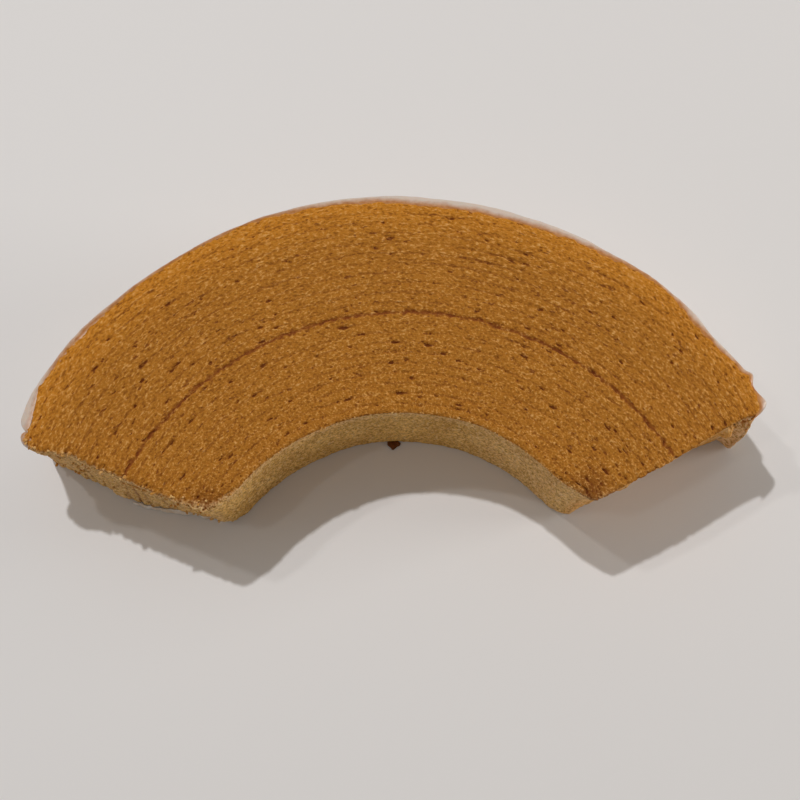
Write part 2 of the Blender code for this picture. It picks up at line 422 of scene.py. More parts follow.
def rim_radius(angle, height, forms, base):
    """The outer radius at an angle in degrees: a circle with its swells and dents."""
    out = base
    for middle, half_width, rise in forms:
        out += rise * mound(angle - middle, half_width)
    side = 2.0 * height / THICKNESS - 1.0
    place = (angle * RIM_DEGREE, height, 0.0)
    return out + WALL_BULGE * (1.0 - side * side) + WALL_WAVE * grain(place, 0.009, 2.0)


def crust_edge(angle, height):
    """How far the crust's torn top edge reaches into the icing."""
    place = (angle * RIM_DEGREE, 0.0, 0.0)
    torn = RIM_TEAR * (grain(place, 0.0016, 71.0) + 0.6 * grain(place, 0.0006, 73.0))
    return (RIM_REACH + torn) * ramp(height / THICKNESS, 0.93, 0.05)


def hole_radius(angle, height):
    """The hole's radius at an angle in degrees."""
    drift = HOLE_DRIFT * math.cos(math.radians(angle))
    place = (angle * HOLE_DEGREE, height, 0.0)
    return HOLE_RADIUS + drift + WALL_WAVE * grain(place, 0.008, 5.0)


def end_crumbs(radius, height, crumbs):
    """Lumps and flakes of torn crumb on a cut end."""
    out = 0.0
    for middle, level, wide, tall, stand in crumbs:
        out += stand * mound(radius - middle, wide) * mound(height - level, tall)
    return out


def layer_step(layers, height, side):
    """Each torn layer stands out by its own amount, with a groove between it and the next."""
    index = math.floor(layers)
    inside = layers - index
    flat = smooth(min(inside, 1.0 - inside) / 0.3)
    stand = END_STEP * noise.noise(Vector((index * 1.7 + 0.4, height / 0.011, 11.0 * side)))
    return blend(-END_GROOVE, stand, flat)


def end_relief(share, radius, height, side):
    """How far a cut end stands out at a place: waves, steps from layer to layer and crumbs."""
    step = layer_step(share * LAYERS, height, side)
    wave = END_WAVE * grain((radius, height, 0.0), 0.014, 20.0 + side)
    drop = 1.0 - height / THICKNESS
    if side > 0:
        lean = -RIGHT_UNDERCUT * drop ** RIGHT_HOLLOW * (1.0 - ramp(share, *RIGHT_PIER))
        return RIGHT_STEP * step + wave + lean + end_crumbs(radius, height, RIGHT_CRUMBS)
    lean = drop * blend(-LEFT_UNDERCUT, LEFT_FOOT, smooth(share * 1.8))
    return LEFT_STEP * step + wave + lean + end_crumbs(radius, height, LEFT_CRUMBS)


def ring_place(radius, angle, height):
    """A place given round the ring's centre, in the part's own frame."""
    turn = math.radians(angle)
    return CENTRE + Vector((radius * math.cos(turn), radius * math.sin(turn), height))


def crumb_noise(radius, angle, height):
    """Sponge at a place: its fine relief from -1 to 1, and how deep in a small pore it is."""
    arc = math.radians(angle) * radius
    fine = grain((radius, 0.6 * arc, 0.6 * height), FINE_GRAIN, 3.0)
    coarse = grain((radius, 0.7 * arc, 0.7 * height), COARSE_GRAIN, 9.0)
    cell = grain((radius, 0.5 * arc, 0.5 * height), BUBBLE, 15.0)
    patch = grain((radius, arc, height), BUBBLE_PATCH, 19.0)
    pore = smooth((cell - 0.36 + 0.12 * patch) / 0.2)
    return 0.5 * fine + 0.5 * coarse, pore


def layer_line(layers, angle):
    """How deep in the line between two layers a place is, stronger for some layers than others."""
    nearest = round(layers)
    strong = 1.0 if nearest in STRONG_LAYERS else 0.3
    strength = strong * (0.7 + 0.6 * noise.noise(Vector((nearest * 2.3, angle / 9.0, 0.5))))
    return max(strength, 0.0) * math.exp(-((layers - nearest) / 0.13) ** 2)


def seam_line(layers, angle):
    """How strong the dark seam is at an angle, and how far off it a place is, in seam widths."""
    wander = 0.20 * noise.noise(Vector((angle / 4.0, 4.0, 0.0)))
    wander += 0.20 * noise.noise(Vector((angle / 0.9, 9.0, layers * 1.5)))
    wide = 0.17 + 0.16 * noise.noise(Vector((angle / 1.1, 2.0, 3.0)))
    offset = (layers - SEAM_LAYER - wander) / wide
    strength = 0.6 + 0.8 * noise.noise(Vector((angle / 2.6, 6.0, 1.0)))
    strength += 0.5 * noise.noise(Vector((angle / 0.7, 8.0, 1.0)))
    return min(max(strength, 0.05), 1.0), offset


def ring_block(steps):
    """A closed block of unit sides, bent a quarter turn: its width is the radius less one."""
    columns, rows, turns = steps
    mesh = bmesh.new()
    bmesh.ops.create_grid(mesh, x_segments=columns, y_segments=rows, size=0.5)
    for vert in mesh.verts:
        vert.co = Vector((1.5 + vert.co.x, 0.0, 0.5 + vert.co.y))
    section = mesh.verts[:] + mesh.edges[:] + mesh.faces[:]
    bmesh.ops.spin(
        mesh, geom=section, cent=(0, 0, 0), axis=(0, 0, 1), dvec=(0, 0, 0),
        angle=-math.pi / 2, steps=turns, use_merge=False, use_duplicate=False,
    )
    bmesh.ops.recalc_face_normals(mesh, faces=mesh.faces[:])
    return mesh


def shares(place):
    """A point's shares of the block's width, height and arc."""
    across = math.hypot(place.x, place.y) - 1.0
    along = math.atan2(-place.y, place.x) / (math.pi / 2)
    return [min(max(value, 0.0), 1.0) for value in (across, place.z, along)]


def refine(mesh):
    """Divide the faces that show most, the top, the hole's wall and the ends; join the underside's."""
    shown = set()
    for face in mesh.faces:
        across, up, along = shares(face.calc_center_median())
        if up > 0.999 or across < 0.001 or along < 0.001 or along > 0.999:
            shown.update(face.edges)
    bmesh.ops.subdivide_edges(mesh, edges=list(shown), cuts=1, use_grid_fill=True)
    flat = []
    for face in mesh.faces:
        across, up, along = shares(face.calc_center_median())
        if up < 0.001 and 0.1 < across < 0.9 and 0.07 < along < 0.93:
            flat.append(face)
    whole = bmesh.ops.dissolve_faces(mesh, faces=flat)["region"]
    bmesh.ops.triangulate(mesh, faces=whole)


def scattered_pores(count, depth):
    """Pores of the cut top: layer, angle, half widths in layers and degrees, slant and depth."""
    draw = np.random.default_rng(PORE_SEED)
    layers = draw.uniform(0.6, LAYERS - 0.4, count)
    near = draw.random(count) < PORES_ON_LINES
    layers[near] = np.round(layers[near]) + draw.normal(0.0, 0.12, near.sum())
    size = draw.gamma(2.0, 0.5, count).clip(0.3, 3.2)
    radius = HOLE_RADIUS + layers / LAYERS * WALL_WIDTH
    wide = PORE_WIDTH[0] + PORE_WIDTH[1] * size
    long = PORE_LENGTH[0] + PORE_LENGTH[1] * size * draw.uniform(0.6, 1.6, count)
    return np.stack([
        layers, CREST + draw.uniform(-HALF_SPAN, HALF_SPAN, count), wide / WALL_WIDTH * LAYERS,
        np.degrees(long / radius), draw.normal(0.0, 0.25, count),
        depth * (0.25 + 0.75 * (size / 2.0).clip(0.0, 1.0)),
    ], axis=1)


def pore_depths(layers, angles, ragged, pores):
    """How deep each point of the top lies in a pore. The ragged noise tears the pores' edges."""
    out = np.zeros(len(layers))
    for layer, angle, wide, long, slant, depth in pores:
        near = np.nonzero((abs(layers - layer) < 4.0 * wide) & (abs(angles - angle) < 2.0 * long))[0]
        along = (angles[near] - angle) / long
        across = (layers[near] - layer) / wide - slant * along
        hollow = np.clip(1.2 - np.hypot(across, along) + 0.9 * ragged[near], 0.0, 1.0)
        out[near] = np.maximum(out[near], depth * hollow * hollow * (3.0 - 2.0 * hollow))
    return out


def cake_place(across, up, along):
    """A point of the cake before its fine relief: layer, radius, angle, height, side and depth."""
    lift = crowded(up, EDGE_CROWDING)
    arc = crowded(along, END_CROWDING)
    radius = blend(HOLE_RADIUS, RING_RADIUS, across)
    length = 2.0 * cut_angle(radius) * radius
    size = (WALL_WIDTH, THICKNESS, length)
    side = 1.0 if arc > 0.5 else -1.0
    radii = corner_radii(across, lift, length * min(arc, 1.0 - arc), side)
    inward, height, run = rounded((across * WALL_WIDTH, lift * THICKNESS, arc * length), size, radii)

    share = inward / WALL_WIDTH
    radius = HOLE_RADIUS + inward
    depth = min(run, length - run)
    near_end = 1.0 - smooth(depth / END_REACH)
    relief = end_relief(across, radius, height, side) * near_end
    turn = (run / length - 0.5) * 2.0 * cut_angle(radius) + side * relief / radius
    angle = CREST - math.degrees(turn)
    drift = LAYER_DRIFT * math.cos(math.radians(angle)) * 4.0 * share * (1.0 - share)
    rim = rim_radius(angle, height, RIM_FORMS, RING_RADIUS) - RING_RADIUS
    rim += crust_edge(angle, height)
    hole = hole_radius(angle, height) - HOLE_RADIUS
    radius += drift + rim * share ** WALL_FOLLOW + hole * (1.0 - share) ** WALL_FOLLOW
    return across * LAYERS, radius, angle, height, side, depth


def model_cake(settings):
    """The sponge, with its fine relief and the masks that its material reads."""
    mesh = ring_block(CAKE_STEPS)
    refine(mesh)
    block = np.array([shares(vert.co) for vert in mesh.verts])
    places = np.array([cake_place(*point) for point in block])
    for vert, place in zip(mesh.verts, places):
        vert.co = ring_place(*place[1:4])
    mesh.normal_update()

    sponge = np.array([crumb_noise(*place[1:4]) for place in places])
    pores = scattered_pores(settings.pores, settings.pore_depth)
    pits = pore_depths(places[:, 0], places[:, 2], sponge[:, 0], pores)
    pits *= block[:, 1] > 0.999
    masks = np.zeros((len(block), len(MASKS)))
    for index, vert in enumerate(mesh.verts):
        layer, _, turn, rise, side, depth = places[index]
        relief, hole = sponge[index]
        line = layer_line(layer, turn)
        seam, offset = seam_line(layer, turn)
        face = top_face(rise)
        top = settings.grain * (relief - 1.3 * hole) + TOP_WAVE * grain(vert.co, 0.013, 31.0)
        top -= settings.layer_relief * line + pits[index]
        top -= settings.seam_depth * seam * math.exp(-offset * offset)
        wall = settings.grain * (2.4 * relief - 2.0 * hole - 1.6)
        if block[index, 1] > 0.001:
            vert.co += vert.normal * blend(wall, top, face)
            vert.co.z = max(vert.co.z, 0.0)
        # How much painted shade the pits and bubble pores get, for the dark mask
        dark = max(pits[index] / settings.pore_depth, 0.5 * hole)
        brown = crust_reach(face, rise, side, depth, layer / LAYERS, turn)
        masks[index] = (*brown, dark, relief, toast(layer, turn), layer, seam, offset)
    data = finished(mesh, "sponge")
    for name, values in zip(MASKS, masks.T):
        layer = data.attributes.new(name, "FLOAT", "POINT")
        layer.data.foreach_set("value", values.astype(np.float32))
    return data


def top_face(rise):
    """1 on the cut top, easing to 0 down the walls."""
    return ramp(rise / THICKNESS, 0.955, 0.035)


def crust_reach(face, rise, side, depth, share, turn):
    """How browned a place is, how pale with torn crumb and painted light, and how much it belongs to the
    right end.
    """
    below = (1.0 - face) * ramp(rise / THICKNESS, 0.78, 0.17)
    cream = max(4.0 * face * (1.0 - face), 0.8 * below)
    # Painted light: the right part of the hole's wall is made paler, as more light falls on it
    cream = max(cream, 0.6 * (1.0 - face) * (1.0 - share) * (1.0 - ramp(turn, 55.0, 20.0)))
    cut_end = 1.0 - smooth(depth / END_SKIN)
    if side < 0:
        return face, max(cream, 0.6 * cut_end * (1.0 - face)), 0.0
    over = cut_end * ramp(rise / THICKNESS, 0.86, 0.08)
    corner = 1.0 - ramp(depth, 0.0020, END_SKIN)
    pier = corner * (1.0 - face) * ramp(share, 0.84, 0.05)
    # The right pier: pale torn crumb, with cream past full as painted light shining through the lump
    cream = max(cream * (1.0 - 0.4 * over), 1.7 * pier)
    return max(face, over * (1.0 - pier)), cream, cut_end * (1.0 - pier)


def toast(layer, turn):
    """Browner patches of the top beside the hole's two corners."""
    out = 0.0
    for angle in TOAST_ANGLES:
        patch = mound(layer - TOAST_LAYER, TOAST_LAYERS) * mound(turn - angle, TOAST_DEGREES)
        out = max(out, patch)
    return out


def icing_place(across, up, along, ripple):
    """A point of the icing, and how milky it is there: more so where it is thick."""
    arc = crowded(along, END_CROWDING)
    half = cut_angle(RING_RADIUS)
    side = 1.0 if arc > 0.5 else -1.0
    depth = 2.0 * half * RING_RADIUS * min(arc, 1.0 - arc)
    lift = crowded(up, EDGE_CROWDING)
    angle = CREST + math.degrees(half) * (1.0 - 2.0 * arc)
    rim_arc = angle * RIM_DEGREE
    hem = ICING_HEM + HEM_WAVE * grain((rim_arc, 0.0, 0.0), 0.006, 51.0)
    height = blend(hem, ICING_TOP, lift)

    if side > 0:
        proud = -RIGHT_RETREAT * (1.0 - ramp(lift, 0.7, 0.3))
    else:
        proud = -blend(*LEFT_RETREAT, ramp(lift, 0.5, 0.35))
    reach = 1.0 - smooth(depth / END_REACH)
    stand = (end_relief(1.0, RING_RADIUS, height, side) + proud) * reach
    angle -= side * math.degrees(stand / RING_RADIUS)

    near = min(max(OUTER_CORNER[1] - depth + proud * reach, 0.0) / OUTER_CORNER[1], 1.0)
    drop = OUTER_CORNER[0] * (1.0 - math.sqrt(1.0 - near * near))
    inner = rim_radius(angle, height, RIM_FORMS, RING_RADIUS) - ICING_OVERLAP - drop
    outer = rim_radius(angle, height, ICING_FORMS, ICING_RADIUS)
    outer += ripple * (grain((rim_arc, height, 0.0), 0.004, 61.0) - 0.5)
    outer += 0.6 * ripple * grain((rim_arc, height, 0.0), 0.0013, 63.0)
    close = max(1.0 - depth / ICING_ROUND, 0.0)
    outer = max(outer, inner + ICING_LEAST) - drop
    outer = blend(inner, outer, max(math.sqrt(1.0 - close * close), 0.1))
    edge = 1.0 - abs(2.0 * up - 1.0) ** ICING_EDGE
    outer = blend(inner + ICING_OVERLAP, outer, edge)
    radius = blend(inner, outer, across)
    milk = max(radius - inner - ICING_OVERLAP, 0.0) / FULL_THICKNESS
    milk += WALL_MILK * (1.0 - ramp(lift, 0.89, 0.08)) + LOBE_MILK * ramp(angle, LOBE_ANGLE, 5.0)
    return ring_place(radius, angle, height), milk


def model_icing(settings):
    """The sugar icing, with a mask of how milky it is."""
    mesh = ring_block(ICING_STEPS)
    milk = np.zeros(len(mesh.verts))
    for index, vert in enumerate(mesh.verts):
        vert.co, milk[index] = icing_place(*shares(vert.co), settings.ripple)
    return with_milk(finished(mesh, "icing"), milk)


def with_milk(data, milk):
    """Give a mesh the mask that the icing's material reads."""
    layer = data.attributes.new("milk", "FLOAT", "POINT")
    layer.data.foreach_set("value", milk.astype(np.float32))
    return data


def model_corner_icing():
    """A pad of icing wrapped round the rim's left corner, milky, whiter at its outer edge as a painted
    highlight.
    """
    mesh = bmesh.new()
    bmesh.ops.create_icosphere(mesh, subdivisions=5, radius=1.0)
    _, radius, angle, _, _, _ = cake_place(PAD_SHARE, 1.0, 0.0)
    outward = Matrix.Rotation(math.radians(angle + 90.0), 3, "Z")
    seat = ring_place(radius, angle, PAD_HEIGHT) - outward @ Vector((PAD_INSIDE, 0.0, 0.0))
    milk = np.zeros(len(mesh.verts))
    for index, vert in enumerate(mesh.verts):
        # Milkier towards the pad's outer edge: painted highlight along its rim
        edge = ramp(math.hypot(vert.co.x, vert.co.y), 0.75, 0.25)
        milk[index] = PAD_MILK * blend(0.5, 1.0, edge)
        place = Vector([half * value for half, value in zip(PAD_SIZE, vert.co)])
        vert.co = seat + outward @ (place * (1.0 + 0.2 * grain(place, 0.0016, 87.0)))
    return with_milk(finished(mesh, "corner_icing"), milk)


def crumb_places(draw):
    """Where torn crumbs sit, with their sizes: on the left end, the hole's edge and the corner."""
    out = []
    for _ in range(END_CRUMBS):
        across, up = draw.uniform(0.06, 0.97), 1.0 - 0.95 * draw.random() ** 2.5
        out.append((cake_place(across, up, 0.0), draw.uniform(0.00013, 0.00040)))
    for _ in range(EDGE_CRUMBS):
        out.append((cake_place(0.0, draw.uniform(0.95, 1.0), draw.random()), draw.uniform(0.0001, 0.0002)))
    for _ in range(CORNER_CRUMBS):
        across, up = draw.uniform(0.83, 0.97), draw.uniform(0.55, 0.97)
        out.append((cake_place(across, up, 1.0), draw.uniform(0.00015, 0.00040)))
    return out


def model_crumbs():
    """Small torn crumbs, each a dented ball pressed into the sponge."""
    draw = np.random.default_rng(CRUMB_SEED)
    mesh = bmesh.new()
    for place, size in crumb_places(draw):
        ball = bmesh.ops.create_uvsphere(mesh, u_segments=7, v_segments=5, radius=size)["verts"]
        turn = Matrix.Rotation(draw.uniform(0.0, math.pi), 4, Vector(draw.normal(size=3)))
        stretch = Matrix.Diagonal((*draw.uniform(0.45, 1.4, 3), 1.0))
        bmesh.ops.transform(mesh, matrix=turn @ stretch, verts=ball)
        seat = ring_place(*place[1:4])
        for vert in ball:
            dent = 0.7 * size * grain(vert.co + seat, 1.2 * size, 81.0)
            vert.co += vert.co.normalized() * dent + seat
            vert.co.z = min(max(vert.co.z, 0.0), THICKNESS + 0.0002)
    return finished(mesh, "crumbs")


def model_shade_flake():
    """A dark flake at the foot of the hole's wall, broken at its edges: painted shade where the contact
    shadow is deepest.
    """
    mesh = bmesh.new()
    bmesh.ops.create_icosphere(mesh, subdivisions=4, radius=1.0)
    seat = ring_place(FLAKE_RADIUS, FLAKE_ANGLE, 0.0)
    for vert in mesh.verts:
        wide, deep, tall = FLAKE_SIZE
        taper = 0.75 + 0.45 * vert.co.y
        place = Vector((wide * taper * vert.co.x, deep * vert.co.y, tall * (1.0 + vert.co.z)))
        dent = 1.0 + 0.35 * grain(place, 0.0007, 83.0) + 0.15 * grain(place, 0.0002, 85.0)
        vert.co = seat + Vector((place.x * dent, place.y * dent, place.z * dent))
    return finished(mesh, "shade_flake")


def finished(mesh, name):
    """Turn a bmesh into mesh data and free it."""
    data = bpy.data.meshes.new(name)
    mesh.to_mesh(data)
    mesh.free()
    return data


def model_glaze():
    """A thin line of glaze along the foot of the left end, thick and thin in turn."""
    mesh = bmesh.new()
    bmesh.ops.create_cone(
        mesh, cap_ends=True, segments=8, radius1=1.0, radius2=1.0, depth=1.0,
    )
    sides = [edge for edge in mesh.edges if abs(edge.verts[0].co.z - edge.verts[1].co.z) > 0.5]
    bmesh.ops.subdivide_edges(mesh, edges=sides, cuts=GLAZE_STEPS)
    for vert in mesh.verts:
        share = vert.co.z + 0.5
        across = blend(*GLAZE_REACH, share)
        _, radius, angle, height, _, _ = cake_place(across, GLAZE_LIFT, 0.0)
        seat = ring_place(radius, angle + math.degrees(GLAZE_STAND / radius), height)
        size = GLAZE_SIZE * (0.85 + 0.7 * grain((radius, 0.0, 0.0), 0.0022, 91.0))
        size = max(size, 0.25 * GLAZE_SIZE) * math.sqrt(max(1.0 - (2.0 * share - 1.0) ** 8, 0.01))
        vert.co = seat + size * Vector((vert.co.x, vert.co.y * 0.8, vert.co.y))
        vert.co.z = max(vert.co.z, 0.0)
    return finished(mesh, "glaze")


def node(tree, kind, **inputs):
    """Add a shader node and set its named inputs, linking those that are sockets."""
    added = tree.nodes.new(kind)
    for name, value in inputs.items():
        socket = added.inputs[int(name[1:])] if name[1:].isdigit() else added.inputs[name]
        if isinstance(value, bpy.types.NodeSocket):
            tree.links.new(value, socket)
        else:
            socket.default_value = value
    return added


def mask(tree, name):
    added = tree.nodes.new("ShaderNodeAttribute")
    added.attribute_name = name
    return added.outputs["Fac"]


def math_node(tree, operation, *values, clamp=False):
    added = tree.nodes.new("ShaderNodeMath")
    added.operation = operation
    added.use_clamp = clamp
    for socket, value in zip(added.inputs, values):
        if isinstance(value, bpy.types.NodeSocket):
            tree.links.new(value, socket)
        else:
            socket.default_value = value
    return added.outputs[0]


def times(tree, first, second):
    return math_node(tree, "MULTIPLY", first, second)


def plus(tree, first, second):
    return math_node(tree, "ADD", first, second)


def mix(tree, share, low, high):
    added = tree.nodes.new("ShaderNodeMix")
    added.data_type = "RGBA"
    colours = [socket for socket in added.inputs if socket.type == "RGBA"]
    for socket, value in zip((added.inputs[0], *colours), (share, low, high)):
        if isinstance(value, bpy.types.NodeSocket):
            tree.links.new(value, socket)
        elif socket.type == "RGBA":
            socket.default_value = (*value, 1.0)
        else:
            socket.default_value = value
    return next(socket for socket in added.outputs if socket.type == "RGBA")


def tint(tree, colour, share, amount, other):
    """Mix a colour towards another by a mask, no further than an amount."""
    return mix(tree, times(tree, share, amount), colour, other)


def ring_coordinates(tree):
    """Radius, arc and height in metres round the ring's centre, from Object coordinates."""
    coordinates = tree.nodes.new("ShaderNodeTexCoord").outputs["Object"]
    centred = node(tree, "ShaderNodeMapping", Vector=coordinates, Location=-CENTRE)
    x, y, z = node(tree, "ShaderNodeSeparateXYZ", Vector=centred.outputs[0]).outputs
    squares = [times(tree, value, value) for value in (x, y)]
    radius = math_node(tree, "SQRT", plus(tree, *squares))
    arc = times(tree, math_node(tree, "ARCTAN2", y, x), MIDDLE_RADIUS)
    return node(tree, "ShaderNodeCombineXYZ", X=radius, Y=arc, Z=z).outputs[0], radius


def stretched_noise(tree, place, size, stretch, detail):
    """Noise whose lumps are size across the layers, and size / stretch along the arc and in height."""
    scale = node(
        tree, "ShaderNodeVectorMath", _0=place, _1=(1.0 / size, stretch / size, stretch / size),
    )
    scale.operation = "MULTIPLY"
    return node(
        tree, "ShaderNodeTexNoise", Vector=scale.outputs[0], Scale=1.0, Detail=detail, Roughness=0.6,
    ).outputs["Fac"]


def spread(tree, value, low, high):
    """Stretch a mask so that low becomes 0 and high 1."""
    added = node(tree, "ShaderNodeMapRange", Value=value)
    added.inputs["From Min"].default_value = low
    added.inputs["From Max"].default_value = high
    return added.outputs[0]


def new_material(name):
    material = bpy.data.materials.new(name)
    material.use_nodes = True
    tree = material.node_tree
    return material, tree, tree.nodes["Principled BSDF"]


def add_bump(tree, shader, height, strength, distance):
    """Give the surface fine relief from a mask."""
    bump = node(tree, "ShaderNodeBump", Height=height, Strength=strength, Distance=distance)
    tree.links.new(bump.outputs[0], shader.inputs["Normal"])


def add_roughness(tree, shader, value, low, high):
    """Let the roughness go from low to high with a mask."""
    rough = node(tree, "ShaderNodeMapRange", Value=value)
    rough.inputs["To Min"].default_value = low
    rough.inputs["To Max"].default_value = high
    tree.links.new(rough.outputs[0], shader.inputs["Roughness"])


def add_glow(shader, weight, radius):
    """Let some light into the surface, as far as the radius for each colour."""
    shader.inputs["Subsurface Weight"].default_value = weight
    shader.inputs["Subsurface Radius"].default_value = radius
    shader.inputs["Subsurface Scale"].default_value = 1.0


def top_colour(tree, settings, rim, blotch):
    """The cut top: brown, more orange towards the rim, with darker blotches and toasted patches."""
    colour = mix(tree, rim, settings.crust, settings.rim)
    colour = tint(tree, colour, blotch, 0.18, TOP_BLOTCH)
    return tint(tree, colour, mask(tree, "toast"), 0.9, TOAST_BROWN)


def wall_colour(tree, settings, place, rim, blotch):
    """The walls and cut ends: pale with darker lumps, more golden by the rim and on the right end."""
    lumps = spread(tree, stretched_noise(tree, place, 0.0010, 1.0, 3.0), 0.43, 0.59)
    colour = mix(tree, blotch, settings.crumb, WALL_BLOTCH)
    colour = tint(tree, colour, lumps, 0.85, WALL_LUMP)
    colour = mix(tree, rim, colour, WALL_RIM)
    return tint(tree, colour, mask(tree, "baked"), 0.85, END_GOLD)


def sponge_material(settings):
    """Golden brown sponge: browner on the cut top, paler on walls and ends; painted shade in pores and
    hollows, painted highlight on peaks.
    """
    material, tree, shader = new_material("baked_sponge")
    place, radius = ring_coordinates(tree)
    fibre = spread(tree, stretched_noise(tree, place, 0.00034, 0.6, 2.0), 0.30, 0.70)
    height = plus(tree, times(tree, crumb_cells(tree, place), 0.5), fibre)
    peaks = plus(tree, times(tree, mask(tree, "relief"), 0.4), height)
    torn = times(tree, math_node(tree, "SUBTRACT", peaks, 0.85), 0.5)
    on_top = spread(tree, math_node(tree, "SUBTRACT", mask(tree, "crust"), torn), 0.35, 0.75)

    rim = math_node(tree, "POWER", spread(tree, radius, RING_RADIUS - 0.009, RING_RADIUS), 1.5)
    blotch = spread(tree, stretched_noise(tree, place, 0.006, 0.6, 3.0), 0.35, 0.65)
    walls = wall_colour(tree, settings, place, rim, blotch)
    colour = mix(tree, on_top, walls, top_colour(tree, settings, rim, blotch))
    # Painted highlight on the crumb's peaks
    light = mix(tree, on_top, PAINTED_HIGHLIGHT_WALL, PAINTED_HIGHLIGHT_TOP)
    colour = tint(tree, colour, spread(tree, peaks, 0.90, 1.35), 0.55, light)
    # Cream on the crumb's peaks: pale torn crumb, plus painted light on the right of the hole's wall and
    # on the right pier
    cream_and_light = times(tree, mask(tree, "cream"), spread(tree, peaks, 0.3, 1.2))
    colour = tint(tree, colour, cream_and_light, 0.6, CREAM_AND_PAINTED_LIGHT)
    # Painted shade in the crumb's hollows
    deep = mix(tree, on_top, PAINTED_SHADE_WALL, PAINTED_SHADE_TOP)
    colour = tint(tree, colour, spread(tree, peaks, 0.72, 0.22), 0.6, deep)
    colour = tint(tree, colour, layer_shade(tree, place, peaks), 0.7, settings.pore)
    # Painted shade in the pits and pores
    colour = mix(tree, pore_shade(tree, place, peaks, on_top), colour, settings.pore)
    colour = mix(tree, seam_shade(tree, peaks), colour, settings.seam)
    tree.links.new(colour, shader.inputs["Base Color"])

    add_bump(tree, shader, height, 0.75, 0.00020)
    add_roughness(tree, shader, fibre, 0.92, 0.70)
    add_glow(shader, 0.08, CRUMB_GLOW)
    shader.inputs["Specular IOR Level"].default_value = 0.2
    return material


def pore_shade(tree, place, peaks, on_top):
    """Painted shade in the pits and small pores of the cut top: how dark they are at a place."""
    ragged = math_node(tree, "SUBTRACT", mask(tree, "dark"), times(tree, peaks, 0.35))
    pits = times(tree, spread(tree, ragged, 0.05, 0.40), 0.9)
    shade = math_node(tree, "MAXIMUM", pits, small_pores(tree, place), clamp=True)
    return times(tree, shade, spread(tree, on_top, -0.12, 1.0))


def small_pores(tree, place):
    """Small pores darkened with painted shade, closer together along the lines between layers."""
    layer = mask(tree, "layer")
    line = math_node(tree, "COSINE", times(tree, layer, 2.0 * math.pi))
    pores = stretched_noise(tree, place, 0.00052, 0.36, 2.0)
    crowd = times(tree, line, 0.022)
    patch = times(tree, stretched_noise(tree, place, 0.004, 0.5, 1.0), 0.08)
    value = plus(tree, plus(tree, pores, crowd), patch)
    return times(tree, spread(tree, value, 0.69, 0.73), 0.7)


def layer_shade(tree, place, peaks):
    """Thin broken lines between layers, stronger for some layers than others."""
    parts = node(tree, "ShaderNodeSeparateXYZ", Vector=place).outputs
    waver = times(tree, stretched_noise(tree, place, 0.003, 1.0, 2.0), 0.5)
    layer = plus(tree, mask(tree, "layer"), math_node(tree, "SUBTRACT", waver, 0.25))
    index = times(tree, math_node(tree, "ROUND", layer), 3.7)
    along = times(tree, parts[1], 130.0)
    strip = node(tree, "ShaderNodeCombineXYZ", X=index, Y=along)
    strength = node(tree, "ShaderNodeTexNoise", Vector=strip.outputs[0], Scale=1.0, Detail=3.0)
    offset = math_node(tree, "PINGPONG", layer, 0.5)
    torn = plus(tree, offset, times(tree, peaks, 0.10))
    line = times(tree, spread(tree, torn, 0.24, 0.10), within_wall(tree))
    return times(tree, line, spread(tree, strength.outputs["Fac"], 0.36, 0.85))


def within_wall(tree):
    """1 between the hole's wall and the rim, 0 on both."""
    layer = mask(tree, "layer")
    near_hole = spread(tree, layer, 0.35, 0.8)
    return times(tree, near_hole, spread(tree, layer, LAYERS - 0.35, LAYERS - 0.8))


def seam_shade(tree, peaks):
    """The dark seam, with edges torn by the crumb."""
    offset = math_node(tree, "ABSOLUTE", mask(tree, "seam_offset"))
    torn = plus(tree, offset, times(tree, peaks, 0.9))
    line = times(tree, spread(tree, torn, 2.2, 0.9), 0.8)
    return times(tree, line, spread(tree, mask(tree, "seam_strength"), -0.2, 0.7))


def crumb_cells(tree, place):
    """The walls between fine bubbles: 1 on the walls and 0 in the bubbles."""
    warp = node(tree, "ShaderNodeTexNoise", Vector=place, Scale=1150.0, Detail=1.0).outputs["Color"]
    scaled = node(tree, "ShaderNodeVectorMath", _0=place, _1=(1750.0, 1050.0, 1050.0))
    scaled.operation = "MULTIPLY"
    shifted = node(tree, "ShaderNodeVectorMath", _0=scaled.outputs[0], _1=warp)
    shifted.operation = "ADD"
    cells = node(tree, "ShaderNodeTexVoronoi", Vector=shifted.outputs[0], Scale=1.0)
    return spread(tree, cells.outputs["Distance"], 0.15, 0.75)


def icing_material(settings):
    """Thin sugar icing: milky where it is thick, with the cake showing through where it is thin."""
    material, tree, shader = new_material("sugar_icing")
    place, _ = ring_coordinates(tree)
    cloud = stretched_noise(tree, place, 0.005, 1.0, 4.0)
    speck = stretched_noise(tree, place, 0.0009, 1.0, 3.0)
    thick = plus(tree, mask(tree, "milk"), times(tree, cloud, 1.2))
    thick = plus(tree, thick, times(tree, speck, 0.5))
    showing = mix(tree, spread(tree, speck, 0.38, 0.62), ICING_STAIN, settings.thin)
    milky = mix(tree, spread(tree, thick, 1.15, 1.95), showing, settings.sugar)
    tree.links.new(milky, shader.inputs["Base Color"])
    add_bump(tree, shader, speck, 0.3, 0.00015)
    add_roughness(tree, shader, cloud, 0.26, 0.48)
    add_glow(shader, 0.35, ICING_GLOW)
    return material


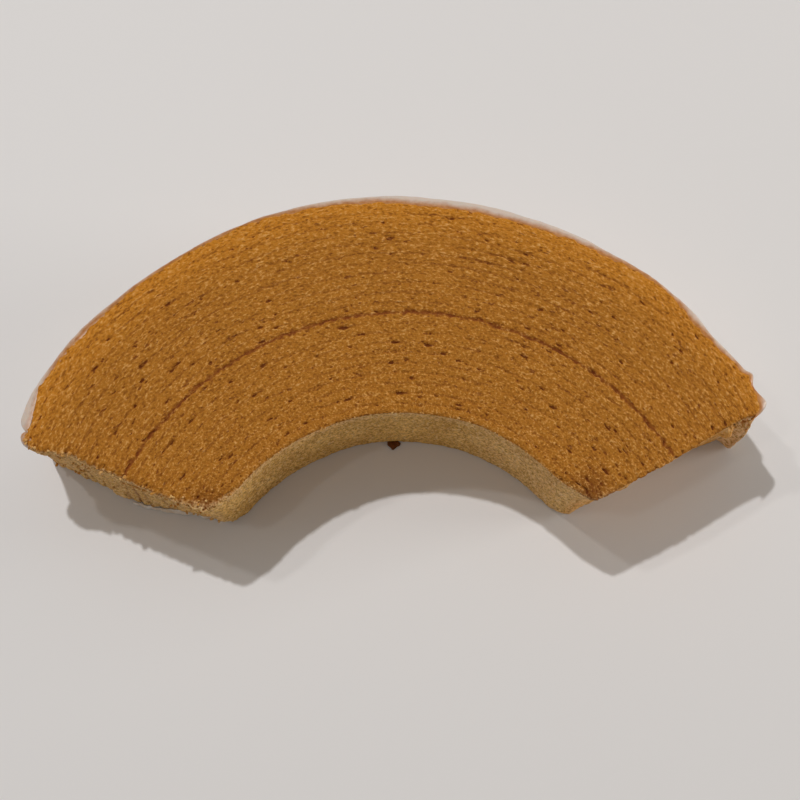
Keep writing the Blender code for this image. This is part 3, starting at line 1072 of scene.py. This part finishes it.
def crumb_material():
    """Pale torn crumb, from cream to golden."""
    material, tree, shader = new_material("torn_crumb")
    place, _ = ring_coordinates(tree)
    tone = spread(tree, stretched_noise(tree, place, 0.0016, 1.0, 1.0), 0.35, 0.65)
    fine = stretched_noise(tree, place, 0.00022, 1.0, 2.0)
    colour = mix(tree, tone, (0.62, 0.28, 0.055), (0.80, 0.49, 0.19))
    colour = mix(tree, spread(tree, fine, 0.50, 0.25), colour, (0.38, 0.16, 0.03))
    tree.links.new(colour, shader.inputs["Base Color"])
    add_bump(tree, shader, fine, 0.8, 0.00015)
    shader.inputs["Roughness"].default_value = 0.8
    add_glow(shader, 0.08, CRUMB_GLOW)
    shader.inputs["Specular IOR Level"].default_value = 0.2
    return material


def shade_flake_material():
    """Dark brown of the flake at the hole's wall: painted shade."""
    material, tree, shader = new_material("shade_flake_brown")
    place, _ = ring_coordinates(tree)
    fine = stretched_noise(tree, place, 0.0003, 1.0, 3.0)
    # Browns of painted shade
    colour = mix(tree, spread(tree, fine, 0.35, 0.65), (0.085, 0.022, 0.004), (0.20, 0.062, 0.010))
    tree.links.new(colour, shader.inputs["Base Color"])
    add_bump(tree, shader, fine, 0.8, 0.00015)
    shader.inputs["Roughness"].default_value = 0.75
    shader.inputs["Specular IOR Level"].default_value = 0.25
    return material


def glaze_material():
    """Dried sugar glaze: off-white and softly glossy."""
    material, tree, shader = new_material("dried_glaze")
    place, _ = ring_coordinates(tree)
    cloud = stretched_noise(tree, place, 0.0012, 1.0, 3.0)
    colour = mix(tree, spread(tree, cloud, 0.35, 0.7), (0.72, 0.55, 0.38), (0.90, 0.85, 0.81))
    tree.links.new(colour, shader.inputs["Base Color"])
    add_bump(tree, shader, cloud, 0.4, 0.00015)
    shader.inputs["Roughness"].default_value = 0.38
    return material


def floor_material(settings):
    material, tree, shader = new_material("pale_floor")
    coordinates = tree.nodes.new("ShaderNodeTexCoord").outputs["Object"]
    cloud = node(tree, "ShaderNodeTexNoise", Vector=coordinates, Scale=6.0, Detail=2.0).outputs["Fac"]
    low = [0.985 * value for value in settings.floor]
    tree.links.new(mix(tree, cloud, low, settings.floor), shader.inputs["Base Color"])
    shader.inputs["Roughness"].default_value = 0.55
    shader.inputs["Specular IOR Level"].default_value = 0.3
    return material


def add_piece(name, data, material, replaced):
    """Make a mesh a piece of the part, in place of a solid where one is named."""
    data.shade_smooth()
    data.materials.append(material)
    piece = bpy.data.objects.new(name, data)
    bpy.context.scene.collection.objects.link(piece)
    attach(piece, "root")
    if replaced:
        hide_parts(replaced)


class BAUMKUCHEN_OT_cake(bpy.types.Operator):
    """Model the sponge with its rings, pores, seam and torn ends"""

    bl_idname = "baumkuchen.cake"
    bl_label = "Cake"

    def execute(self, context):
        settings = context.scene.baumkuchen_sponge
        data = model_cake(settings)
        add_piece("sponge", data, sponge_material(settings), "cake")
        return {"FINISHED"}


class BAUMKUCHEN_OT_icing(bpy.types.Operator):
    """Model the sugar icing on the outer wall"""

    bl_idname = "baumkuchen.icing"
    bl_label = "Icing"

    def execute(self, context):
        settings = context.scene.baumkuchen_icing
        data = model_icing(settings)
        material = icing_material(settings)
        add_piece("sugar_shell", data, material, "icing")
        add_piece("corner_icing", model_corner_icing(), material, None)
        return {"FINISHED"}


class BAUMKUCHEN_OT_crumbs(bpy.types.Operator):
    """Set torn crumbs along the cut edges, a dark flake of painted shade and a line of glaze at their feet
    """

    bl_idname = "baumkuchen.crumbs"
    bl_label = "Crumbs And Glaze"

    def execute(self, context):
        add_piece("torn_crumbs", model_crumbs(), crumb_material(), None)
        # The dark flake is painted shade where the contact shadow at the hole's wall is deepest
        add_piece("shade_flake", model_shade_flake(), shade_flake_material(), None)
        add_piece("foot_glaze", model_glaze(), glaze_material(), None)
        return {"FINISHED"}


class BAUMKUCHEN_OT_stage(bpy.types.Operator):
    """Lay the floor and set the lights and the camera"""

    bl_idname = "baumkuchen.stage"
    bl_label = "Stage"

    def execute(self, context):
        settings = context.scene.baumkuchen_stage
        lay_floor(settings)
        set_lights()
        set_camera(settings)
        return {"FINISHED"}


def lay_floor(settings):
    mesh = bmesh.new()
    bmesh.ops.create_grid(mesh, x_segments=1, y_segments=1, size=settings.floor_size / 2)
    bmesh.ops.translate(mesh, verts=mesh.verts, vec=(0.0, 0.0, -0.0001))
    data = finished(mesh, "floor")
    data.materials.append(floor_material(settings))
    floor = bpy.data.objects.new("floor", data)
    bpy.context.scene.collection.objects.link(floor)
    floor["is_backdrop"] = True


def area_light(name, place, size, power, colour):
    """A square light that faces the slice."""
    data = bpy.data.lights.new(name, "AREA")
    data.size = size
    data.energy = power
    data.color = colour
    light = bpy.data.objects.new(name, data)
    light.location = place
    light.rotation_euler = (-Vector(place)).to_track_quat("-Z", "Y").to_euler()
    bpy.context.scene.collection.objects.link(light)


def set_lights():
    """A soft light behind the slice, weaker ones at its sides, one low down and an even fill."""
    area_light("key", (-0.28, 0.48, 1.28), 0.035, 7.9, (0.98, 0.985, 1.0))
    area_light("side", (-0.56, 0.42, 1.22), 0.05, 1.5, (1.0, 0.98, 0.96))
    area_light("left", (-0.50, -0.08, 1.32), 0.05, 0.55, WARM)
    area_light("right", (0.50, 0.50, 1.22), 0.30, 0.15, WARM)
    area_light("low", (0.58, 0.06, 0.14), 0.20, 1.15, WARM)
    world = bpy.data.worlds.new("fill")
    world.use_nodes = True
    background = world.node_tree.nodes["Background"]
    background.inputs["Color"].default_value = (1.0, 0.95, 0.88, 1.0)
    background.inputs["Strength"].default_value = 0.25
    bpy.context.scene.world = world
    bpy.context.scene.view_settings.view_transform = "Standard"


def set_camera(settings):
    """Look down on the slice from the photograph's place."""
    data = bpy.data.cameras.new("camera")
    data.sensor_width = 36.0
    data.lens = settings.lens
    data.clip_start = 0.01
    turn = Matrix.Rotation(settings.turn, 4, "Z")
    aim = CENTRE + turn @ AIM
    aim.z = THICKNESS
    facing = turn @ Matrix.Rotation(settings.tilt, 4, "X")
    place = aim + facing @ Vector((0.0, 0.0, settings.distance))
    camera = bpy.data.objects.new("camera", data)
    camera.matrix_world = Matrix.Translation(place) @ facing @ Matrix.Rotation(settings.roll, 4, "Z")
    bpy.context.scene.collection.objects.link(camera)
    bpy.context.scene.camera = camera


class BAUMKUCHEN_PT_panel(bpy.types.Panel):
    """Lists the operators and their settings"""

    bl_idname = "BAUMKUCHEN_PT_panel"
    bl_label = "Baumkuchen"
    bl_space_type = "VIEW_3D"
    bl_region_type = "UI"
    bl_category = "Baumkuchen"

    def draw(self, context):
        scene = context.scene
        for operator, settings in (
            (BAUMKUCHEN_OT_cake, scene.baumkuchen_sponge),
            (BAUMKUCHEN_OT_icing, scene.baumkuchen_icing),
            (BAUMKUCHEN_OT_stage, scene.baumkuchen_stage),
        ):
            self.layout.operator(operator.bl_idname)
            for name in settings.__annotations__:
                self.layout.prop(settings, name)
        self.layout.operator(BAUMKUCHEN_OT_crumbs.bl_idname)


CLASSES = (
    SpongeSettings,
    IcingSettings,
    StageSettings,
    BAUMKUCHEN_OT_cake,
    BAUMKUCHEN_OT_icing,
    BAUMKUCHEN_OT_crumbs,
    BAUMKUCHEN_OT_stage,
    BAUMKUCHEN_PT_panel,
)


def register():
    for cls in CLASSES:
        bpy.utils.register_class(cls)
    bpy.types.Scene.baumkuchen_sponge = PointerProperty(type=SpongeSettings)
    bpy.types.Scene.baumkuchen_icing = PointerProperty(type=IcingSettings)
    bpy.types.Scene.baumkuchen_stage = PointerProperty(type=StageSettings)


def unregister():
    del bpy.types.Scene.baumkuchen_stage
    del bpy.types.Scene.baumkuchen_icing
    del bpy.types.Scene.baumkuchen_sponge
    for cls in reversed(CLASSES):
        bpy.utils.unregister_class(cls)


def main():
    register()
    bpy.ops.baumkuchen.cake()
    bpy.ops.baumkuchen.icing()
    bpy.ops.baumkuchen.crumbs()
    bpy.ops.baumkuchen.stage()
    boxes = {"cad": FRAME_BOX, "visual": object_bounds()}
    boxes = {name: [list(corner) for corner in box] for name, box in boxes.items()}


if __name__ == "__main__":
    main()
